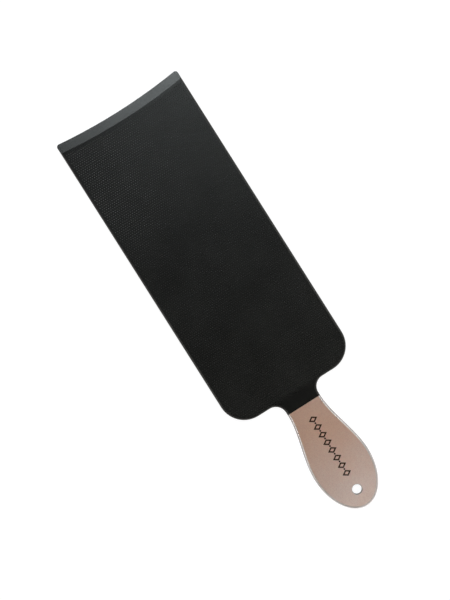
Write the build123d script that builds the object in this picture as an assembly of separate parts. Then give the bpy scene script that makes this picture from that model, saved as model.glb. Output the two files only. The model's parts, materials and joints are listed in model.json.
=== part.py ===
from build123d import *
import os
from math import asin, degrees, hypot

# A hair colouring board: a long flat blade that a strand of hair is laid on while colour is painted
# on it, carried by a short handle.  It is three pieces:
#
#   board               one moulding: blade, bevelled lip, neck, and a tang that the handle hides
#   handle_front_shell  the handle's front half, with a pocket for the tang and two pin sockets
#   handle_back_shell   the handle's back half, with the same pocket and the two locating pins
#
# Millimetres.  The board lies on its back: X runs across it, Y along it with the lip towards +Y, and
# Z up out of the textured face.  The origin is under its middle, on the plane that its back rests on.

# ---------------------------------------------------------------- driving dimensions

# Blade
blade_length = 236.2         # from the lip's tips to the line of the shoulders
blade_width = 100.0
board_thickness = 4.0        # blade, neck and handle share their front and back planes
edge_round = 1.5             # round along the outline, on the front and on the back
shoulder_radius = 19.0

# Lip: the far edge is hollow, to lie against the scalp, and thinned by a bevel on the front
lip_hollow = 2.8             # how far the far edge curves in at its middle
lip_bevel_width = 7.2
lip_edge_thickness = 1.2
lip_edge_round = 0.45
lip_tip_radius = 2.2         # the lip's two corners, seen from the front

# Grip field: the shallow sunk panel that holds the fine raised texture
grip_field_margin = 1.7      # smooth border between the field and the outline
grip_field_depth = 0.25

# Neck
neck_width = 26.8
neck_fillet = 8.4            # hollow round between the shoulders and the neck
neck_land = 2.1              # straight stretch from that round to the handle

# Handle outline: it swells from the neck to its full width, then closes in half an ellipse
handle_width = 43.6
handle_swell_length = 49.3
handle_end_length = 34.0
swell_softness = 0.328       # how long the swell holds its direction at each end, 0 to 0.5

# Handle shells: they meet at mid thickness and hold the tang in a pocket between them
shell_wall = 1.2             # over and under the tang
shell_rim = 3.0              # beside the tang, at the neck
parting_groove = 0.15        # small bevel on each shell along the parting line

# Tang: a thin tongue with a round end
tang_length = 58.0
tang_clearance = 0.2         # beside the tang in its pocket, and round the pins in its holes

# Hanging hole
hang_hole_diameter = 7.0
hang_hole_from_end = 13.6
hang_hole_edge_round = 0.3

# Locating pins
pin_diameter = 4.0
pin_from_neck = 13.0         # first pin, from the handle's neck end
pin_spacing = 30.0
pin_engagement = 0.6         # how far a pin reaches into the front shell's socket
pin_clearance = 0.05         # round a pin in its socket
pin_end_clearance = 0.1      # beyond the pin's end

# ---------------------------------------------------------------- places along the board

handle_length = handle_swell_length + handle_end_length
overall_length = blade_length + neck_fillet + neck_land + handle_length

tip_y = overall_length / 2
shoulder_y = tip_y - blade_length
joint_y = shoulder_y - neck_fillet - neck_land      # where the neck meets the handle
widest_y = joint_y - handle_swell_length
end_y = -overall_length / 2
hang_hole_y = end_y + hang_hole_from_end
pin_ys = [joint_y - pin_from_neck, joint_y - pin_from_neck - pin_spacing]

half_blade = blade_width / 2
half_neck = neck_width / 2
half_handle = handle_width / 2

parting_z = board_thickness / 2
tang_bottom_z = shell_wall
tang_top_z = board_thickness - shell_wall
field_z = board_thickness - grip_field_depth

half_tang = half_neck - shell_rim - tang_clearance
hang_hole_radius = hang_hole_diameter / 2
pin_radius = pin_diameter / 2

# A round can be no larger than the wall it is on
outline_round = min(edge_round, 0.48 * board_thickness)
shell_round = min(edge_round, 0.9 * (board_thickness / 2 - parting_groove))
lip_round = min(lip_edge_round, 0.45 * lip_edge_thickness)
shoulder_round = min(shoulder_radius, half_blade - half_neck - neck_fillet)

# The far edge is an arc that runs into the rounds of both tips; its centre lies beyond the lip
tip_x = half_blade - lip_tip_radius                 # centre of a tip's round
lip_arc_radius = (tip_x**2 + lip_hollow**2) / (2 * lip_hollow) - lip_tip_radius
lip_arc_centre_y = tip_y - lip_hollow + lip_arc_radius

spare = 1.0      # how far a cutting shape runs past the faces that it cuts
near = 1e-3      # places closer than this are the same place


# ---------------------------------------------------------------- helpers


def prism(face, bottom_z, top_z):
    """The face, which lies on the XY plane, carried straight up from bottom_z to top_z."""
    return Pos(0, 0, bottom_z) * extrude(face, amount=top_z - bottom_z)


def rod(radius, y, bottom_z, top_z):
    """A round rod standing on the board's axis at y."""
    return prism(Pos(0, y) * Circle(radius), bottom_z, top_z)


def corners_near(shape, x, y):
    """The corners of a flat face that lie at (x, y) or at its mirror image (-x, y)."""
    return [v for v in shape.vertices() if hypot(abs(v.X) - x, v.Y - y) < near]


def rim_edges(solid, z):
    """The outline edges at height z, leaving out the one on the neck's joint and the one at the lip."""
    edges = solid.edges().filter_by_position(Axis.Z, z - near, z + near)
    return [e for e in edges if abs(e.center().Y - joint_y) > near and abs(e.center().Y - tip_y) > near]


# ---------------------------------------------------------------- outlines


def blade_and_neck():
    """Blade and neck from the front, square at the lip end, which the lip's own cut shapes."""
    right = [(half_blade, tip_y), (half_blade, shoulder_y), (half_neck, shoulder_y), (half_neck, joint_y)]
    left = [(-x, y) for x, y in reversed(right)]
    face = make_face(Polyline(*right, *left, close=True))
    face = fillet(corners_near(face, half_blade, shoulder_y), shoulder_round)
    return fillet(corners_near(face, half_neck, shoulder_y), neck_fillet)


def grip_field():
    """The blade's outline drawn in by the margin all round, with the lip's curve at its far end."""
    half = half_blade - grip_field_margin
    low = shoulder_y + grip_field_margin
    arc_radius = lip_arc_radius + lip_bevel_width + grip_field_margin
    high = lip_arc_centre_y - (arc_radius**2 - half**2) ** 0.5
    far = ThreePointArc((half, high), (0, lip_arc_centre_y - arc_radius), (-half, high))
    sides = Polyline((-half, high), (-half, low), (half, low), (half, high))
    face = make_face([far, sides])
    return fillet(corners_near(face, half, low), shoulder_round - grip_field_margin)


def handle_outline():
    """The handle from the front: its end on the neck, two swelling sides and half an ellipse."""
    reach = swell_softness * handle_swell_length
    side = Bezier(
        (half_neck, joint_y),
        (half_neck, joint_y - reach),
        (half_handle, widest_y + reach),
        (half_handle, widest_y),
    )
    end = EllipticalCenterArc((0, widest_y), half_handle, handle_end_length, start_angle=180, arc_size=180)
    return make_face([Line((-half_neck, joint_y), (half_neck, joint_y)), side, end, mirror(side, Plane.YZ)])


def tongue_outline(half_width):
    """The tang from the front, or its pocket: straight sides from the neck, and a round end."""
    centre_y = joint_y - tang_length + half_tang
    straight = Pos(0, (joint_y + centre_y) / 2) * Rectangle(2 * half_width, joint_y - centre_y)
    return straight + Pos(0, centre_y) * Circle(half_width)


# ---------------------------------------------------------------- board


def lip_cutter():
    """What lies beyond the lip: the hollow far edge with its small rounds, and the bevel's wedge.

    Its section is drawn outwards from the far edge's centre and turned about that centre.
    """
    below = -spare
    above = board_thickness + spare
    inside = lip_arc_radius - lip_hollow - spare
    section = make_face(
        Polyline(
            (inside, below),
            (lip_arc_radius + 2 * lip_round, below),
            (lip_arc_radius + 2 * lip_round, 0),
            (lip_arc_radius, 0),
            (lip_arc_radius, lip_edge_thickness),
            (lip_arc_radius + lip_bevel_width, board_thickness),
            (lip_arc_radius + lip_bevel_width, above),
            (inside, above),
            close=True,
        )
    )
    for z in (0, lip_edge_thickness):
        section = fillet(corners_near(section, lip_arc_radius, z), lip_round)
    ring = revolve(Plane.XZ * section, Axis.Z)
    return Pos(0, lip_arc_centre_y, 0) * ring


def tip_cutter():
    """What lies beyond the round of each tip, from the blade's side to where the far edge takes over."""
    centre_y = tip_y - lip_tip_radius
    lean = degrees(asin(tip_x / (lip_arc_radius + lip_tip_radius)))
    rounding = CenterArc((tip_x, centre_y), lip_tip_radius, start_angle=0, arc_size=90 + lean)
    beyond = Polyline(
        rounding @ 1,
        ((rounding @ 1).X, tip_y + spare),
        (half_blade + spare, tip_y + spare),
        (half_blade + spare, centre_y),
        rounding @ 0,
    )
    right = prism(make_face([rounding, beyond]), -spare, board_thickness + spare)
    return right + mirror(right, Plane.YZ)


def tang():
    """The thin tongue that the two shells clamp, with a hole for each pin."""
    tongue = prism(tongue_outline(half_tang), tang_bottom_z, tang_top_z)
    for y in pin_ys:
        tongue -= rod(pin_radius + tang_clearance, y, 0, board_thickness)
    return tongue


def board():
    """Blade, lip, neck and tang in one piece."""
    plate = prism(blade_and_neck(), 0, board_thickness)
    plate = fillet(rim_edges(plate, 0) + rim_edges(plate, board_thickness), outline_round)
    plate -= lip_cutter()
    plate -= tip_cutter()
    plate -= prism(grip_field(), field_z, board_thickness + spare)
    return plate + tang()


# ---------------------------------------------------------------- handle shells


def half_shell(outer_z):
    """One half of the handle, without its pins or sockets; outer_z is the plane of its outer face.

    It is rounded along that face and bevelled along the parting line, with half of the tang's pocket
    on its inside, and the hanging hole, whose mouth is rounded.
    """
    bottom_z, top_z = sorted((parting_z, outer_z))
    shell = prism(handle_outline(), bottom_z, top_z)
    shell = fillet(rim_edges(shell, outer_z), shell_round)
    shell = chamfer(rim_edges(shell, parting_z), parting_groove)
    shell -= prism(tongue_outline(half_tang + tang_clearance), tang_bottom_z, tang_top_z)
    shell -= rod(hang_hole_radius, hang_hole_y, -spare, board_thickness + spare)
    on_face = shell.edges().filter_by_position(Axis.Z, outer_z - near, outer_z + near)
    mouth = [e for e in on_face.filter_by(GeomType.CIRCLE) if abs(e.radius - hang_hole_radius) < near]
    return fillet(mouth, hang_hole_edge_round)


def handle_front_shell():
    """Front half, with a socket for each pin in the roof of the tang's pocket."""
    shell = half_shell(board_thickness)
    socket_top_z = tang_top_z + pin_engagement + pin_end_clearance
    for y in pin_ys:
        shell -= rod(pin_radius + pin_clearance, y, tang_top_z - spare, socket_top_z)
    return shell


def handle_back_shell():
    """Back half, with its pins standing on the floor of the tang's pocket."""
    shell = half_shell(0)
    for y in pin_ys:
        shell += rod(pin_radius, y, tang_bottom_z, tang_top_z + pin_engagement)
    return shell


# ---------------------------------------------------------------- write one file per piece

os.makedirs("parts", exist_ok=True)
for piece in (board, handle_front_shell, handle_back_shell):
    export_step(piece(), "parts/" + piece.__name__ + ".step")
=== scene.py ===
# %% [markdown]
# # A hair colouring board
#
# The object is the flat paddle that a colourist holds under a strand of hair while painting it: a black
# plastic blade with a fine grip texture, a thin smooth lip that lies against the scalp, and a short
# handle in rose gold.  The construction comes from CAD as three parts, at their real size.  This file
# gives them their finishes, adds what is too fine for CAD, and sets up the light and the camera.
#
# The first lines load the CAD parts.  They are a fixed frame: nothing here moves or reshapes them, and
# every place below is worked out from them.

# %% Load the CAD parts
import json
from math import cos, pi, radians, sin

import bpy
import numpy as np
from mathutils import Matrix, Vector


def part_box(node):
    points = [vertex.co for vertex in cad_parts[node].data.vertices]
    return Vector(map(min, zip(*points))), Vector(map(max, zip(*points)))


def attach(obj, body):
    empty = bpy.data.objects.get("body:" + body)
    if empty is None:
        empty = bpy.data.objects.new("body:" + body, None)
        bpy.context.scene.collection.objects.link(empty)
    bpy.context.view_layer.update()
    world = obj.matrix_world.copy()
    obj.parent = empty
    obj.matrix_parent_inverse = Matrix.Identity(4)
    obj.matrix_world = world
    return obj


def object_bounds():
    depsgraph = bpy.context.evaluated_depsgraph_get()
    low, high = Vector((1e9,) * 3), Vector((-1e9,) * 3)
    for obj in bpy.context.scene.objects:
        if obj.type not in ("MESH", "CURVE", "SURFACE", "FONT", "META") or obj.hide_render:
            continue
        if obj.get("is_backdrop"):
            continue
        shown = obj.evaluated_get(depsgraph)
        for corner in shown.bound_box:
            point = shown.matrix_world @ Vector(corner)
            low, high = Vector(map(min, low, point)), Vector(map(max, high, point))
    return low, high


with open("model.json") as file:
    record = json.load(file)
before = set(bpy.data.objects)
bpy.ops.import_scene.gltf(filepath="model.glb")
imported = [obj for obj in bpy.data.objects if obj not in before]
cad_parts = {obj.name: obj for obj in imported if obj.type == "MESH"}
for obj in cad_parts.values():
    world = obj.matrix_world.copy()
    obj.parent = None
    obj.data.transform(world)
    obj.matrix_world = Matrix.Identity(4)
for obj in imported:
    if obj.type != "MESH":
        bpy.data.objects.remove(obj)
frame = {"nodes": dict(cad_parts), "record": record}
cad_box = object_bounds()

for name in sorted(frame["nodes"]):
    low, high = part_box(name)
    size = [round(1000 * (high[i] - low[i]), 2) for i in range(3)]
    print(f"{name}: {size} mm")

# %% [markdown]
# ## Places on the board
#
# Blender works in metres.  X runs across the board, Y along it towards the lip, and Z up out of the
# textured face.  The blade's width, the face's height and the two ends are read from the parts, and the
# hanging hole from the record of mounts.  What a box can't say, such as how far the far edge is hollowed,
# is written once here as a named length.

# %% Places on the board
MM = 0.001

board_low, board_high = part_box("board")
shell_low, shell_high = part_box("handle_front_shell")
hang_hole = next(mount for mount in frame["record"]["mounts"] if mount["name"] == "hang_hole")

half_blade = board_high.x
face_z = board_high.z               # the front plane, which the neck and the handle share
tip_y = board_high.y                # the lip's two tips
joint_y = shell_high.y              # where the neck meets the handle
end_y = shell_low.y
middle_y = (tip_y + end_y) / 2
hole_y = hang_hole["pos_m"][1]
hole_radius = hang_hole["dims"]["r_mm"] * MM

lip_hollow = 2.8 * MM               # how far the far edge curves in at its middle
lip_width = 7.2 * MM                # the bevel along it
tip_round = 2.2 * MM                # the two tips, seen from the front
field_depth = 0.25 * MM             # the textured panel is sunk by this much
field_margin = 1.7 * MM             # and stays this far inside the blade's outline
field_corner = 17.3 * MM            # the panel's two round corners at the shoulders
shoulder_y = joint_y + 10.5 * MM    # the blade's end, where its shoulders are

tip_x = half_blade - tip_round
lip_radius = (tip_x**2 + lip_hollow**2) / (2 * lip_hollow) - tip_round
lip_centre_y = tip_y - lip_hollow + lip_radius
field_radius = lip_radius + lip_width + field_margin    # the panel's far side, about the same centre
print(f"far edge: radius {lip_radius / MM:.0f} mm, centre {lip_centre_y / MM:.0f} mm up the board")

# %% [markdown]
# ## Camera
#
# The board is seen from straight above, a little under a metre away, as on a copy stand.  A lens of about
# 77 mm on a 36 mm frame keeps its sides nearly parallel.  The camera is turned about its own axis, so that
# the lip points to the upper left and the handle to the lower right.

# %% Camera
camera_height = 0.90                # above the face
camera_lens = 77.1
camera_turn = radians(-32.3)
camera_shift = (-7.4 * MM, 10.1 * MM)    # where it stands, from the middle of the board

scene = bpy.context.scene
camera_data = bpy.data.cameras.new("camera")
camera_data.sensor_width = 36.0
camera_data.lens = camera_lens
camera_data.clip_start = 0.01
camera = bpy.data.objects.new("camera", camera_data)
camera.location = (camera_shift[0], middle_y + camera_shift[1], face_z + camera_height)
camera.rotation_euler = (0.0, 0.0, camera_turn)
scene.collection.objects.link(camera)
scene.camera = camera
scene.view_settings.view_transform = "Standard"
print(f"camera {camera_height} m above the face, {camera_lens} mm lens")

# %% [markdown]
# ## Colour and node helpers
#
# Colours are picked as sRGB hex values, the way a paint or plastic maker quotes them, and Cycles wants
# linear light, so one function converts them.  A second function adds a node: it takes the node's kind,
# its settings, and for each input either a value or the output that feeds it.

# %% Colour and node helpers
# A Mix node has sockets for each kind of value; these are the numbers of the colour's
FIRST_COLOUR, SECOND_COLOUR, MIXED_COLOUR = 6, 7, 2


def linear(hex_colour):
    """The sRGB colour as linear RGBA: below 0.04045 it is divided by 12.92, above by the power law."""
    srgb = np.array([int(hex_colour[i : i + 2], 16) for i in (0, 2, 4)]) / 255
    rgb = np.where(srgb <= 0.04045, srgb / 12.92, ((srgb + 0.055) / 1.055) ** 2.4)
    return (*rgb.tolist(), 1.0)


def add(tree, kind, inputs=None, **settings):
    """Adds a node, sets its settings, and fills its inputs with values or with other nodes' outputs."""
    node = tree.nodes.new("ShaderNode" + kind)
    for key, value in settings.items():
        setattr(node, key, value)
    for key, value in (inputs or {}).items():
        if isinstance(value, bpy.types.NodeSocket):
            tree.links.new(value, node.inputs[key])
        else:
            node.inputs[key].default_value = value
    return node


def blend(tree, share, first, second):
    """The first colour where the share is 0 and the second where it is 1; either may be an output."""
    mix = add(tree, "Mix", {0: share, FIRST_COLOUR: first, SECOND_COLOUR: second}, data_type="RGBA")
    return mix.outputs[MIXED_COLOUR]


def new_material(name):
    """An empty node material: its tree, its output node, and the piece's own coordinates in metres."""
    material = bpy.data.materials.new(name)
    material.use_nodes = True
    tree = material.node_tree
    tree.nodes.clear()
    return material, tree, add(tree, "OutputMaterial"), add(tree, "TexCoord").outputs["Object"]


# %% [markdown]
# ## Light table
#
# The board lies on a light table: a sheet of opal acrylic lit from below.  From above it is plain white,
# and it drowns nearly all shadow.  In Blender that is a plane that gives off light of its own, over a
# grey diffuse surface.  It is declared as stage, so it isn't part of the object.

# %% Light table
table_size = 4.0
table_gap = 0.05 * MM               # just under the board's back, so that the two planes don't coincide
table_glow = 0.93                   # with what the soft boxes add, it comes to just above white


def flat_sheet(name, size, height):
    """A square sheet at a height: the four corners of a size by size square."""
    half = size / 2
    corners = [(-half, -half, height), (half, -half, height), (half, half, height), (-half, half, height)]
    mesh = bpy.data.meshes.new(name)
    mesh.from_pydata(corners, [], [(0, 1, 2, 3)])
    return mesh


opal_acrylic, tree, output, place = new_material("opal_acrylic_backlit")
opal = add(tree, "BsdfPrincipled", {
    "Base Color": linear("7c7c7c"),
    "Roughness": 0.6,
    "Emission Color": linear("ffffff"),
    "Emission Strength": table_glow,
})
tree.links.new(opal.outputs["BSDF"], output.inputs["Surface"])

floor = bpy.data.objects.new("light_table", flat_sheet("light_table", table_size, board_low.z - table_gap))
floor.data.materials.append(opal_acrylic)
scene.collection.objects.link(floor)
floor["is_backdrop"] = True
print(f"light table {table_size} m wide")

# %% [markdown]
# ## Soft boxes
#
# The ceiling over the camera stays dark.  A matt black face seen from above mirrors that ceiling, so it
# stays black, and it lightens only where the mirror angle comes near a soft box.  One soft box stands
# beyond the lip and lifts that end of the blade, and a small one beyond the handle puts a pale sheen round
# its hole.  The ones at the handle's foot keep the rim of its round end from going dark.  A low one lights
# the lip's bevel, which is tipped towards it.  The ones at the two sides give the rounded edges their thin
# light line, and a small low one rakes over the grip texture.  The two beyond the lip are a little cooler
# than the others, as light from a window is beside a lamp's.
#
# Each is an area light aimed at a point on the face.  Its place is given as in a studio: by the way
# round, the lean from straight up, and how far away it stands.  The power of each was found by comparing
# the tones of the blade, the lip and the handle, one area at a time.

# %% A soft box
board_middle = (0.0, middle_y)
lip_middle = (0.0, tip_y)
grip_middle = (0.0, joint_y - 38 * MM)
hole_middle = (0.0, hole_y)
left_texture = (-0.9 * half_blade, tip_y - 45 * MM)    # among the dots, near the lip's left tip
window_light = "e8f1ff"             # sRGB, against white for the other boxes


def soft_box(name, aim, azimuth, lean, distance, size, power, tint="ffffff"):
    """A rectangular area light aimed at a point (x, y) of the face; size is its width and its height.

    azimuth is measured clockwise from +Y and lean from straight up, in degrees.  tint is an sRGB hex.
    """
    turn, tip = radians(azimuth), radians(lean)
    way = np.array([sin(turn) * sin(tip), cos(turn) * sin(tip), cos(tip)])
    light = bpy.data.lights.new(name, "AREA")
    light.shape = "RECTANGLE"
    light.size, light.size_y = size
    light.energy = power
    light.color = linear(tint)[:3]
    lamp = bpy.data.objects.new(name, light)
    lamp.location = np.array([*aim, face_z]) + distance * way
    lamp.rotation_euler = (tip, 0.0, pi - turn)
    lamp.visible_camera = False
    scene.collection.objects.link(lamp)
    print(f"{name}: {power} W, {lean} degrees from straight up")


# %% [markdown]
# There are eleven.  The two that stand at either side of the handle's foot are alike, so a loop places both.

# %% The soft boxes, placed
soft_box(
    "soft_box_blade", board_middle, azimuth=30, lean=25, distance=1.3, size=(0.4, 0.4), power=2.26,
    tint=window_light,
)
soft_box(
    "soft_box_lip", lip_middle, azimuth=10, lean=58, distance=0.6, size=(0.16, 0.16), power=0.99,
    tint=window_light,
)
soft_box("soft_box_handle", board_middle, azimuth=175, lean=20, distance=1.3, size=(0.15, 0.15), power=0.34)
soft_box("soft_box_end", board_middle, azimuth=175, lean=31, distance=1.3, size=(0.4, 0.4), power=0.28)
soft_box("soft_box_foot", grip_middle, azimuth=180, lean=60, distance=0.8, size=(0.6, 0.15), power=0.4)
for side, azimuth in (("left", 228), ("right", 132)):
    soft_box(
        f"soft_box_foot_{side}", hole_middle, azimuth, lean=42, distance=0.8, size=(0.35, 0.35), power=0.18
    )
soft_box("soft_box_right", board_middle, azimuth=90, lean=36, distance=1.2, size=(0.5, 0.45), power=1.62)
soft_box("soft_box_left", board_middle, azimuth=270, lean=36, distance=1.2, size=(0.5, 0.45), power=0.36)
soft_box("soft_box_grip", grip_middle, azimuth=275, lean=36, distance=0.8, size=(0.3, 0.3), power=0.45)
soft_box("soft_box_rake", left_texture, azimuth=315, lean=68, distance=0.3, size=(0.1, 0.1), power=0.17)

# %% [markdown]
# ## Studio walls
#
# The room's white walls reach up to about 30 degrees over the table and fade into the dark ceiling.  They
# show as the background in views from the side, and on a rounded edge as a soft pale line.  A world shader
# does this with one number: the height of the direction looked in, which is 0 at the horizon and 1
# straight up.

# %% Studio walls
wall_light = 0.9
wall_top = sin(radians(30))

world = bpy.data.worlds.new("studio")
world.use_nodes = True
background = world.node_tree.nodes["Background"]
looking = add(world.node_tree, "TexCoord").outputs["Generated"]
rise = add(world.node_tree, "SeparateXYZ", {0: looking}).outputs["Z"]
fade = add(world.node_tree, "MapRange", {
    "Value": rise, "From Max": wall_top, "To Min": wall_light, "To Max": 0.0,
}, interpolation_type="SMOOTHSTEP")
background.inputs["Color"].default_value = linear("ffffff")
world.node_tree.links.new(fade.outputs["Result"], background.inputs["Strength"])
scene.world = world

# %% [markdown]
# ## Black ABS, moulded
#
# The board is one moulding in black ABS, and the tool that made it left three finishes.  The textured
# panel is matt, because its steel was spark eroded.  The lip and the blade's border were left satin.  The
# neck was polished, so it mirrors more of the dark ceiling and looks the blackest.  All three are one
# material here: the finish is picked by where a point lies on the board, so the borders stay crisp.

# %% The board's regions
neck_blend = 1 * MM                 # the polish of the neck begins over this distance
level_normal = 0.95                 # the panel's floor faces up at least this much, its side wall doesn't


def board_regions(tree, place):
    """Two masks: 1 on the sunk panel's floor, and 1 on the neck, past the shoulders."""
    axes = add(tree, "SeparateXYZ", {0: place})
    facing = add(tree, "SeparateXYZ", {0: add(tree, "NewGeometry").outputs["Normal"]})
    height = axes.outputs["Z"]
    below = add(tree, "Math", {0: height, 1: face_z - 0.4 * field_depth}, operation="LESS_THAN")
    above = add(tree, "Math", {0: height, 1: face_z - 2 * field_depth}, operation="GREATER_THAN")
    level = add(tree, "Math", {0: facing.outputs["Z"], 1: level_normal}, operation="GREATER_THAN")
    sunk = add(tree, "Math", {0: below.outputs[0], 1: above.outputs[0]}, operation="MULTIPLY")
    panel = add(tree, "Math", {0: sunk.outputs[0], 1: level.outputs[0]}, operation="MULTIPLY")
    neck = add(tree, "MapRange", {
        "Value": axes.outputs["Y"],
        "From Min": shoulder_y + neck_blend,
        "From Max": shoulder_y - neck_blend,
    })
    return panel.outputs[0], neck.outputs["Result"]


# %% [markdown]
# Three noises break up each finish: a slow haze in colour and gloss, faint lengthwise strokes left by the
# colouring brush, and the grain of the eroded steel, which is only a bump.  The rounded sides are painted a
# dark grey, a painted sheen.  They are found by their normal, which leans to the left or to the right.
# The plastic is hardly a colour at all, but its gloss is a trace warm, so the dark parts aren't a dead grey.

# %% Black ABS, moulded
grain_size = 0.35 * MM              # the eroded skin of the panel
grain_height = 0.02 * MM
haze_size = 30 * MM                 # slow changes of gloss that handling leaves
scuff_width = 0.5 * MM              # faint strokes left by the brush, drawn wide enough to show
scuff_stretch = 50                  # how many times longer than wide they are
scuff_turn = 0.12                   # radians, their slant to the board's length
edge_sheen_from, edge_sheen_to = 0.04, 0.1  # sideways part of the normal where the painted sheen begins and is full
abs_gloss_tint = linear("fffff2")   # a trace of yellow


def moulded_black(name, panel_roughness, satin_roughness, neck_roughness):
    """Black ABS whose roughness is one of three values, by region, with grain, haze and faint strokes."""
    material, tree, output, place = new_material(name)
    panel, neck = board_regions(tree, place)

    haze = add(tree, "TexNoise", {"Vector": place, "Scale": 1 / haze_size, "Detail": 3.0})
    grain = add(tree, "TexNoise", {"Vector": place, "Scale": 1 / grain_size, "Detail": 2.0})
    along_board = add(tree, "Mapping", {
        "Vector": place, "Rotation": (0, 0, scuff_turn), "Scale": (1, 1 / scuff_stretch, 1),
    })
    stroke = add(tree, "TexNoise", {
        "Vector": along_board.outputs[0], "Scale": 1 / scuff_width, "Detail": 3.0,
    })

    # Roughness: the region's own, less or more in the haze, and more in a stroke
    smooth = add(tree, "Mix", {"Factor": neck, "A": satin_roughness, "B": neck_roughness})
    region = add(tree, "Mix", {"Factor": panel, "A": smooth.outputs[0], "B": panel_roughness})
    hazed = add(tree, "MapRange", {
        "Value": haze.outputs["Fac"], "From Min": 0.3, "From Max": 0.7, "To Min": -0.03, "To Max": 0.03,
    })
    stroked = add(tree, "MapRange", {
        "Value": stroke.outputs["Fac"], "From Min": 0.6, "From Max": 0.8, "To Min": 0.0, "To Max": 0.06,
    })
    soft = add(tree, "Math", {0: region.outputs[0], 1: hazed.outputs[0]}, operation="ADD")
    roughness = add(tree, "Math", {0: soft.outputs[0], 1: stroked.outputs[0]}, operation="ADD")

    # Colour: nearly black, and painted grey on the rounded sides, a painted sheen
    moulded = blend(tree, haze.outputs["Fac"], linear("0c0c0b"), linear("121211"))
    normal_x = add(tree, "SeparateXYZ", {0: add(tree, "NewGeometry").outputs["Normal"]}).outputs["X"]
    sideways = add(tree, "Math", {0: normal_x}, operation="ABSOLUTE")
    painted_edge_sheen = add(tree, "MapRange", {
        "Value": sideways.outputs[0], "From Min": edge_sheen_from, "From Max": edge_sheen_to,
    })
    colour = blend(tree, painted_edge_sheen.outputs["Result"], moulded, linear("2e2c2b"))

    # The grain is deep on the panel and faint elsewhere
    depth = add(tree, "MapRange", {"Value": panel, "To Min": 0.15, "To Max": 0.5})
    bump = add(tree, "Bump", {
        "Height": grain.outputs["Fac"], "Strength": depth.outputs[0], "Distance": grain_height,
    })
    plastic = add(tree, "BsdfPrincipled", {
        "Base Color": colour,
        "Roughness": roughness.outputs[0],
        "IOR": 1.5,
        "Specular Tint": abs_gloss_tint,
        "Normal": bump.outputs["Normal"],
    })
    tree.links.new(plastic.outputs["BSDF"], output.inputs["Surface"])
    return material


abs_black = moulded_black(
    "abs_black_moulded",
    panel_roughness=0.34,
    satin_roughness=0.3,
    neck_roughness=0.25,
)
print(f"{abs_black.name}: matt panel, satin lip and border, polished neck")

# %% [markdown]
# ## Rose gold, metallised and lacquered
#
# The handle's shells are ABS too, with a thin film of metal under a tinted satin lacquer.  The film is a
# metal with a pale rose base colour and a fairly wide gloss, and the lacquer over it is the shader's coat.
# The tint is deeper near the neck, and the colour is painted paler towards the hanging hole, a painted
# sheen.
#
# Along the rounded edge the colour is painted paler than the face, a painted highlight, and it is glossier,
# most of all near the neck.  Beyond it, round towards the parting line, the colour is painted grey near the
# neck and pale at the hole, a painted reflection.  Both are found by how far the surface leans, and the
# hanging hole, painted a darker grey-brown as painted shade, by how near its axis is.

# %% Where the painted highlight, the painted reflection and the hole's painted shade go
highlight_rim_leans = (1, 5)                  # degrees from level where the painted highlight on the rim begins, and is full
reflection_rim_leans = (27, 45)               # and where the painted reflection begins, and is full
bore_edge = 0.2 * MM                # the hole's painted shade, matt and not metal, reaches this far outside its wall, onto its rounded mouth
sheen_ramp_start_y = joint_y - 19 * MM    # the deep tint ends here, and the painted sheen is full at the hole


def leaning(tree, low_degrees, high_degrees):
    """0 where the surface leans by less than the low angle from level, 1 beyond the high one."""
    normal_z = add(tree, "SeparateXYZ", {0: add(tree, "NewGeometry").outputs["Normal"]}).outputs["Z"]
    upward = add(tree, "Math", {0: normal_z}, operation="ABSOLUTE").outputs[0]
    return add(tree, "MapRange", {
        "Value": upward,
        "From Min": cos(radians(low_degrees)),
        "From Max": cos(radians(high_degrees)),
    }).outputs["Result"]


def in_bore(tree, place):
    """1 nearer to the hanging hole's axis than its wall and a little more, and 0 beyond."""
    from_axis = add(tree, "Mapping", {"Vector": place, "Location": (0, -hole_y, 0), "Scale": (1, 1, 0)})
    radius = add(tree, "VectorMath", {0: from_axis.outputs[0]}, operation="LENGTH").outputs["Value"]
    return add(tree, "Math", {0: radius, 1: hole_radius + bore_edge}, operation="LESS_THAN").outputs[0]


def towards_hole(tree, place):
    """0 near the neck, rising evenly to 1 at the hanging hole."""
    y = add(tree, "SeparateXYZ", {0: place}).outputs["Y"]
    span = {"Value": y, "From Min": sheen_ramp_start_y, "From Max": hole_y}
    return add(tree, "MapRange", span).outputs["Result"]


# %% [markdown]
# Three small things break up the finish.  The metal lies in fine flakes, here drawn a few times too large
# so that they show.  The lacquer has the long low waves called orange peel.  Its gloss is cloudy.  In the
# hole the colour is a darker grey-brown, painted shade, and it is matt and not metal.

# %% Rose gold, metallised and lacquered
flake_size = 0.5 * MM               # a real flake is about 0.1 mm
flake_glint = 0.07                  # how much lighter or darker a flake is than the rest
drift_size = 22 * MM                # slow changes of the tint
cloud_size = 6 * MM                 # and of the gloss
peel_size = 2.5 * MM
peel_height = 0.004 * MM
bore_extra_roughness = 0.25


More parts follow.
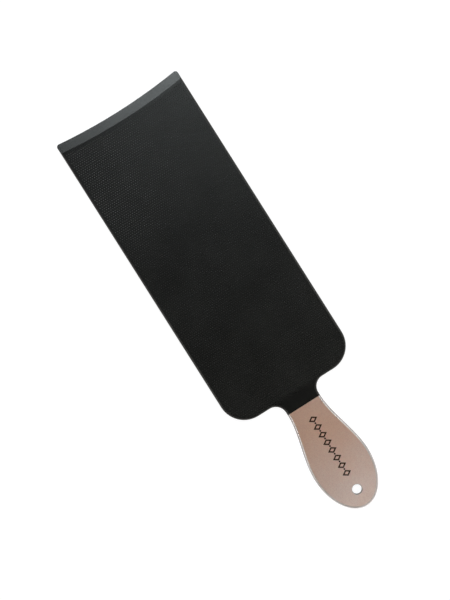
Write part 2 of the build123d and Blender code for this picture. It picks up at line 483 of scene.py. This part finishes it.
def metallised(name, face_tints_and_sheen, rim_reflection_tints, rim_highlight_tint, bore_shade_colour, roughness):
    """Rose gold film under lacquer, with flakes, a tint that drifts, a painted rim highlight and reflection,
    and painted shade in the bore.

    The first pair of tints is the face's colour, near the neck and then at the hole, where it is a painted
    sheen.
    The second pair is the painted reflection near the parting line, near the neck and then at the hole.
    """
    material, tree, output, place = new_material(name)
    painted_highlight_rim = leaning(tree, *highlight_rim_leans)
    painted_reflection_rim = leaning(tree, *reflection_rim_leans)
    bore = in_bore(tree, place)
    film = add(tree, "Math", {0: 1.0, 1: bore}, operation="SUBTRACT").outputs[0]
    along = towards_hole(tree, place)

    # The tint, with its painted sheen towards the hole, drifts a little from its even change along the
    # handle
    haze = add(tree, "TexNoise", {"Vector": place, "Scale": 1 / drift_size, "Detail": 3.0})
    drift = add(tree, "MapRange", {"Value": haze.outputs["Fac"], "To Min": -0.5, "To Max": 0.5})
    tint = add(tree, "Math", {0: along, 1: drift.outputs["Result"]}, operation="ADD", use_clamp=True)
    tinted_and_sheen = blend(tree, tint.outputs[0], *map(linear, face_tints_and_sheen))

    # Flakes, then the painted highlight on the rim, the painted reflection beyond it and the painted shade
    # in the bore
    flake = add(tree, "TexVoronoi", {"Vector": place, "Scale": 1 / flake_size})
    sparkle = add(tree, "SeparateXYZ", {0: flake.outputs["Color"]}).outputs["X"]
    glint = add(tree, "MapRange", {
        "Value": sparkle, "To Min": 1 - flake_glint, "To Max": 1 + flake_glint,
    }).outputs["Result"]
    flaked = add(tree, "VectorMath", {0: tinted_and_sheen, 1: glint}, operation="MULTIPLY").outputs[0]
    highlighted = blend(tree, painted_highlight_rim, flaked, linear(rim_highlight_tint))
    reflected = blend(tree, painted_reflection_rim, highlighted, blend(tree, along, *map(linear, rim_reflection_tints)))
    colour = blend(tree, bore, reflected, linear(bore_shade_colour))

    # Gloss: cloudy, glossier on the rim with the painted highlight near the neck, matt in the bore
    cloud = add(tree, "TexNoise", {"Vector": place, "Scale": 1 / cloud_size, "Detail": 4.0})
    cloudy = add(tree, "MapRange", {
        "Value": cloud.outputs["Fac"], "From Min": 0.3, "From Max": 0.7,
        "To Min": roughness - 0.03, "To Max": roughness + 0.03,
    }).outputs["Result"]
    polish = add(tree, "MapRange", {"Value": along, "To Min": -0.14, "To Max": -0.04}).outputs["Result"]
    polished = add(tree, "Math", {0: painted_highlight_rim, 1: polish, 2: cloudy}, operation="MULTIPLY_ADD").outputs[0]
    gloss = add(tree, "Math", {0: bore, 1: bore_extra_roughness, 2: polished}, operation="MULTIPLY_ADD")

    peel = add(tree, "TexNoise", {"Vector": place, "Scale": 1 / peel_size, "Detail": 1.0})
    bump = add(tree, "Bump", {"Height": peel.outputs["Fac"], "Strength": 0.25, "Distance": peel_height})
    gold = add(tree, "BsdfPrincipled", {
        "Base Color": colour,
        "Metallic": film,
        "Roughness": gloss.outputs[0],
        "Normal": bump.outputs["Normal"],
        "Coat Weight": film,
        "Coat Roughness": 0.18,
    })
    tree.links.new(gold.outputs["BSDF"], output.inputs["Surface"])
    return material


rose_gold = metallised(
    "abs_rose_gold_metallised",
    face_tints_and_sheen=("ffd0b5", "ffdfce"),
    rim_reflection_tints=("968c86", "e6ddd8"),
    rim_highlight_tint="fff6f0",
    bore_shade_colour="80736c",
    roughness=0.42,
)

# %% [markdown]
# A CAD part comes with empty slots, and its finish goes into them.

# %% Finishes of the CAD parts
finishes = {"board": abs_black, "handle_front_shell": rose_gold, "handle_back_shell": rose_gold}
for name, material in finishes.items():
    for material_slot in frame["nodes"][name].material_slots:
        material_slot.material = material
    print(f"{name}: {material.name}")

# %% [markdown]
# ## Grip texture
#
# The panel is covered with fine round dots in staggered rows, which hold the hair and the colour in
# place.  They are too many and too small for CAD, and a bump map would vanish at the panel's edge and in
# the exported mesh.  So each dot is a real dome, and all of them are one mesh: one dome is worked out,
# and numpy copies it to every centre at once.
#
# First come the centres: rows straight across the board, every second one shifted by half a pitch, and
# only those that fit inside the panel.

# %% Where the dots stand
dot_pitch = 1.65 * MM               # along a row
row_pitch = 1.68 * MM               # from row to row
dot_radius = 0.52 * MM
dot_clearance = 0.1 * MM            # least distance from a dot to the panel's side

half_field = half_blade - field_margin
field_low_y = shoulder_y + field_margin
field_high_y = lip_centre_y - (field_radius**2 - half_field**2) ** 0.5


def dot_centres():
    """The centres, n by 2: a staggered grid, less the points nearer to the panel's outline than a dot."""
    rows = np.arange(int((field_high_y - field_low_y) / row_pitch) + 1)
    columns = np.arange(-int(half_field / dot_pitch) - 1, int(half_field / dot_pitch) + 1)
    row, column = np.meshgrid(rows, columns, indexing="ij")
    x = (column + 0.5 * (row % 2)) * dot_pitch
    y = field_low_y + (row + 0.5) * row_pitch

    inset = dot_radius + dot_clearance
    beside = np.abs(x) < half_field - inset
    above = y > field_low_y + inset
    short_of_lip = np.hypot(x, y - lip_centre_y) > field_radius + inset
    corner_x, corner_y = half_field - field_corner, field_low_y + field_corner
    in_corner = (np.abs(x) > corner_x) & (y < corner_y)
    in_round = np.hypot(np.abs(x) - corner_x, y - corner_y) < field_corner - inset
    kept = beside & above & short_of_lip & (~in_corner | in_round)
    return np.stack([x[kept], y[kept]], axis=-1)


centres = dot_centres()
print(f"{len(centres)} dots, {dot_pitch / MM:.2f} mm apart in rows {row_pitch / MM:.2f} mm apart")

# %% [markdown]
# The dots are the board's own black ABS.  On the left near the lip their tops are painted pale, a painted
# highlight, and made a little glossier, in patches, and towards the handle the painted highlight nearly
# fades out.  It is a mask, 1 in its brightest place, made of three factors: the distance from that place, a
# noise for the patches, and the height up the dot.

# %% Black ABS, with painted highlights on the dots' tops
highlight_centre = (-half_blade, tip_y - 40 * MM)
highlight_reach = (88 * MM, 68 * MM)     # how far the painted highlight goes across the board and along it
highlight_core = 0.12                    # it is full over this share of that distance
least_highlight = 0.1                    # and this much of it is left everywhere
patch_size = 14 * MM
dot_grain_height = 0.01 * MM

dot_highlight_black, tree, output, place = new_material("abs_black_painted_dot_highlights")
z = add(tree, "SeparateXYZ", {0: place}).outputs["Z"]
top = add(tree, "MapRange", {
    "Value": z, "From Min": face_z - 0.7 * field_depth, "From Max": face_z - 0.4 * field_depth,
})
# The way from the painted highlight's centre, as a share of the reach: 0 at its centre, 1 where it ends
from_corner = add(tree, "VectorMath", {0: place, 1: (*highlight_centre, 0)}, operation="SUBTRACT")
shares = add(tree, "VectorMath", {
    0: from_corner.outputs[0], 1: (1 / highlight_reach[0], 1 / highlight_reach[1], 0),
}, operation="MULTIPLY")
share = add(tree, "VectorMath", {0: shares.outputs[0]}, operation="LENGTH").outputs["Value"]
highlight_falloff = add(tree, "MapRange", {
    "Value": share, "From Min": highlight_core, "From Max": 1.0, "To Min": 1.0, "To Max": least_highlight,
})
patches = add(tree, "TexNoise", {"Vector": place, "Scale": 1 / patch_size, "Detail": 2.0})
patchy = add(tree, "MapRange", {
    "Value": patches.outputs["Fac"], "From Min": 0.35, "From Max": 0.6, "To Min": 0.6, "To Max": 1.0,
})
painted_highlight = add(tree, "Math", {0: highlight_falloff.outputs["Result"], 1: patchy.outputs["Result"]}, operation="MULTIPLY")
painted_top_highlight = add(tree, "Math", {0: painted_highlight.outputs[0], 1: top.outputs["Result"]}, operation="MULTIPLY")
dot_top_roughness = add(tree, "MapRange", {"Value": painted_top_highlight.outputs[0], "To Min": 0.36, "To Max": 0.3})
dot_grain = add(tree, "TexNoise", {"Vector": place, "Scale": 1 / grain_size, "Detail": 2.0})
dot_bump = add(tree, "Bump", {
    "Height": dot_grain.outputs["Fac"], "Strength": 0.5, "Distance": dot_grain_height,
})
# Painted highlight: the mask paints the dots' tops pale grey
dot_plastic = add(tree, "BsdfPrincipled", {
    "Base Color": blend(tree, painted_top_highlight.outputs[0], linear("0f0f0e"), linear("6e6e6c")),
    "Roughness": dot_top_roughness.outputs["Result"],
    "Normal": dot_bump.outputs["Normal"],
    "IOR": 1.5,
    "Specular Tint": abs_gloss_tint,
})
tree.links.new(dot_plastic.outputs["BSDF"], output.inputs["Surface"])
print(f"{dot_highlight_black.name}: worn pale up to {highlight_reach[0] / MM:.0f} mm across the board")

# %% [markdown]
# A dome is a surface of two parameters: the turn round it, and the way from its foot to its top.  Six
# sides are enough for something half a millimetre in radius.  The foot is sunk a little under the panel,
# so that no gap shows.

# %% The dots
dot_sides = 6
dot_rings = 2
dot_sink = 0.05 * MM


def dome(radius, height):
    """A closed dome as points and faces: rings of corners, a top point, and a flat foot.

    At way w from foot to top, from 0 to 1, a ring's radius is radius times 1 - w, and its height is
    height times the sine of a quarter turn times w.
    """
    way = np.arange(dot_rings) / dot_rings
    turn = 2 * pi * np.arange(dot_sides) / dot_sides
    rings = np.stack([
        np.outer(radius * (1 - way), np.cos(turn)),
        np.outer(radius * (1 - way), np.sin(turn)),
        np.outer(height * np.sin(way * pi / 2), np.ones(dot_sides)),
    ], axis=-1)
    points = np.vstack([rings.reshape(-1, 3), [(0, 0, height)]])
    here = np.arange(dot_sides)
    beyond = (here + 1) % dot_sides
    wall = np.stack([here, beyond, beyond + dot_sides, here + dot_sides], axis=-1)
    last_ring = dot_sides * (dot_rings - 1)
    roof = np.stack([here + last_ring, beyond + last_ring, np.full(dot_sides, len(points) - 1)], axis=-1)
    foot = here[None, ::-1]
    return points, [wall, roof, foot]


# %% [markdown]
# The copies need no loop over the dots: the dome's points are added to every centre at once, and each
# copy's faces are the dome's own with their corner numbers raised.

# %% Copies, and the piece
def repeated(points, faces, centres, base_z):
    """One small mesh copied to every centre: the points shifted, and each copy's corners renumbered."""
    places = np.column_stack([centres, np.full(len(centres), base_z)])
    all_points = (points[None] + places[:, None]).reshape(-1, 3)
    steps = np.arange(len(centres))[:, None, None] * len(points)
    all_faces = [row for face in faces for row in (face[None] + steps).reshape(-1, face.shape[1]).tolist()]
    return all_points, all_faces


def add_piece(name, points, faces, material, smooth=True):
    """Makes the mesh an object at the origin, gives it its material and lets it ride on the board."""
    mesh = bpy.data.meshes.new(name)
    mesh.from_pydata(points.tolist(), [], faces)
    mesh.polygons.foreach_set("use_smooth", np.full(len(mesh.polygons), smooth))
    mesh.materials.append(material)
    mesh.update()
    piece = bpy.data.objects.new(name, mesh)
    scene.collection.objects.link(piece)
    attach(piece, "root")
    print(f"{name}: {len(mesh.vertices)} corners, {len(mesh.polygons)} faces")
    return piece


dot_points, dot_faces = dome(dot_radius, field_depth + dot_sink)
all_points, all_faces = repeated(dot_points, dot_faces, centres, face_z - field_depth - dot_sink)
grip_texture = add_piece("grip_texture", all_points, all_faces, dot_highlight_black)

# %% [markdown]
# ## Print on the handle
#
# A row of dark brown lozenges and dots is pad printed down the middle of the handle, a plain traditional
# ornament.  Both figures are one formula: a superellipse, whose power is 1 for a lozenge and 2 for a
# circle.  Each is a thin closed ring of ink, about as thick as such a print, with its foot in the lacquer.

# %% One figure of the print
ink_thickness = 0.02 * MM
ink_sink = 0.02 * MM
ink_sides = 32


def ink_figure(centre_y, half_size, power, inner):
    """A flat ring round (0, centre_y) as a closed grid, round by section.

    The outline's x is a times cos(turn) to the power 2/p, keeping its sign, and y the same with b and
    sin.  The section is a rectangle: outside bottom, outside top, inside top, inside bottom.
    """
    turn = 2 * pi * np.arange(ink_sides) / ink_sides
    waves = np.stack([np.cos(turn), np.sin(turn)]).round(12)    # so that a quarter turn gives exactly 0
    across, along = np.array(half_size)[:, None] * np.sign(waves) * np.abs(waves) ** (2 / power)
    share = np.array([1, 1, inner, inner])
    height = face_z + np.array([-ink_sink, ink_thickness, ink_thickness, -ink_sink])
    points = np.stack([
        np.outer(across, share),
        centre_y + np.outer(along, share),
        np.outer(np.ones(ink_sides), height),
    ], axis=-1).reshape(-1, 3)
    here = np.arange(ink_sides)[:, None] * len(share) + np.arange(len(share))
    beyond = np.roll(here, -1, axis=0)
    faces = np.stack([here, beyond, np.roll(beyond, -1, axis=1), np.roll(here, -1, axis=1)], axis=-1)
    return points, faces.reshape(-1, 4)


# %% [markdown]
# Pad printing ink is a matt enamel.  It lies a little unevenly, so its colour and gloss are mottled, and
# its skin is slightly rough.

# %% Brown ink
mottle_size = 0.8 * MM

print_ink, tree, output, place = new_material("pad_print_ink_brown")
mottle = add(tree, "TexNoise", {"Vector": place, "Scale": 1 / mottle_size, "Detail": 2.0})
ink_colour = blend(tree, mottle.outputs["Fac"], linear("3c2313"), linear("502f1a"))
ink_gloss = add(tree, "MapRange", {"Value": mottle.outputs["Fac"], "To Min": 0.42, "To Max": 0.62})
ink_skin = add(tree, "Bump", {
    "Height": mottle.outputs["Fac"], "Strength": 0.4, "Distance": 0.3 * ink_thickness,
})
ink = add(tree, "BsdfPrincipled", {
    "Base Color": ink_colour,
    "Roughness": ink_gloss.outputs["Result"],
    "IOR": 1.5,
    "Specular IOR Level": 0.2,
    "Normal": ink_skin.outputs["Normal"],
})
tree.links.new(ink.outputs["BSDF"], output.inputs["Surface"])

# %% [markdown]
# The lozenges stand at even steps down the handle, with a dot between each two.

# %% Print on the handle
print_near_y = joint_y - 11.8 * MM  # the row's two ends
print_far_y = joint_y - 56.1 * MM
lozenge_count = 8
lozenge_size = (3.5 * MM, 2.35 * MM)    # half its width, across the handle, and half its length
lozenge_line = 0.48                 # its inner outline, as a share of the outer one
dot_size = (0.65 * MM, 0.65 * MM)
dot_line = 0.02                     # so small an inner outline that the dot looks filled
lozenge, circle = 1, 2              # the power of each figure's superellipse

lozenge_ys = np.linspace(print_near_y, print_far_y, lozenge_count)
dot_ys = (lozenge_ys[1:] + lozenge_ys[:-1]) / 2
figures = [ink_figure(y, lozenge_size, lozenge, lozenge_line) for y in lozenge_ys]
figures += [ink_figure(y, dot_size, circle, dot_line) for y in dot_ys]
starts = np.cumsum([0] + [len(points) for points, _ in figures])
ink_points = np.vstack([points for points, _ in figures])
ink_faces = np.vstack([faces + start for (_, faces), start in zip(figures, starts)])
handle_print = add_piece("handle_print", ink_points, ink_faces.tolist(), print_ink, smooth=False)

# %% [markdown]
# ## Sizes
#
# Blender must not change the object's size.  The box of the CAD parts and the box of everything together
# are kept side by side, so that the two can be compared.

# %% Sizes, and the end
visual_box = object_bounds()
boxes = {"cad": cad_box, "visual": visual_box}
boxes = {name: [[float(v) for v in corner] for corner in box] for name, box in boxes.items()}
print(boxes)
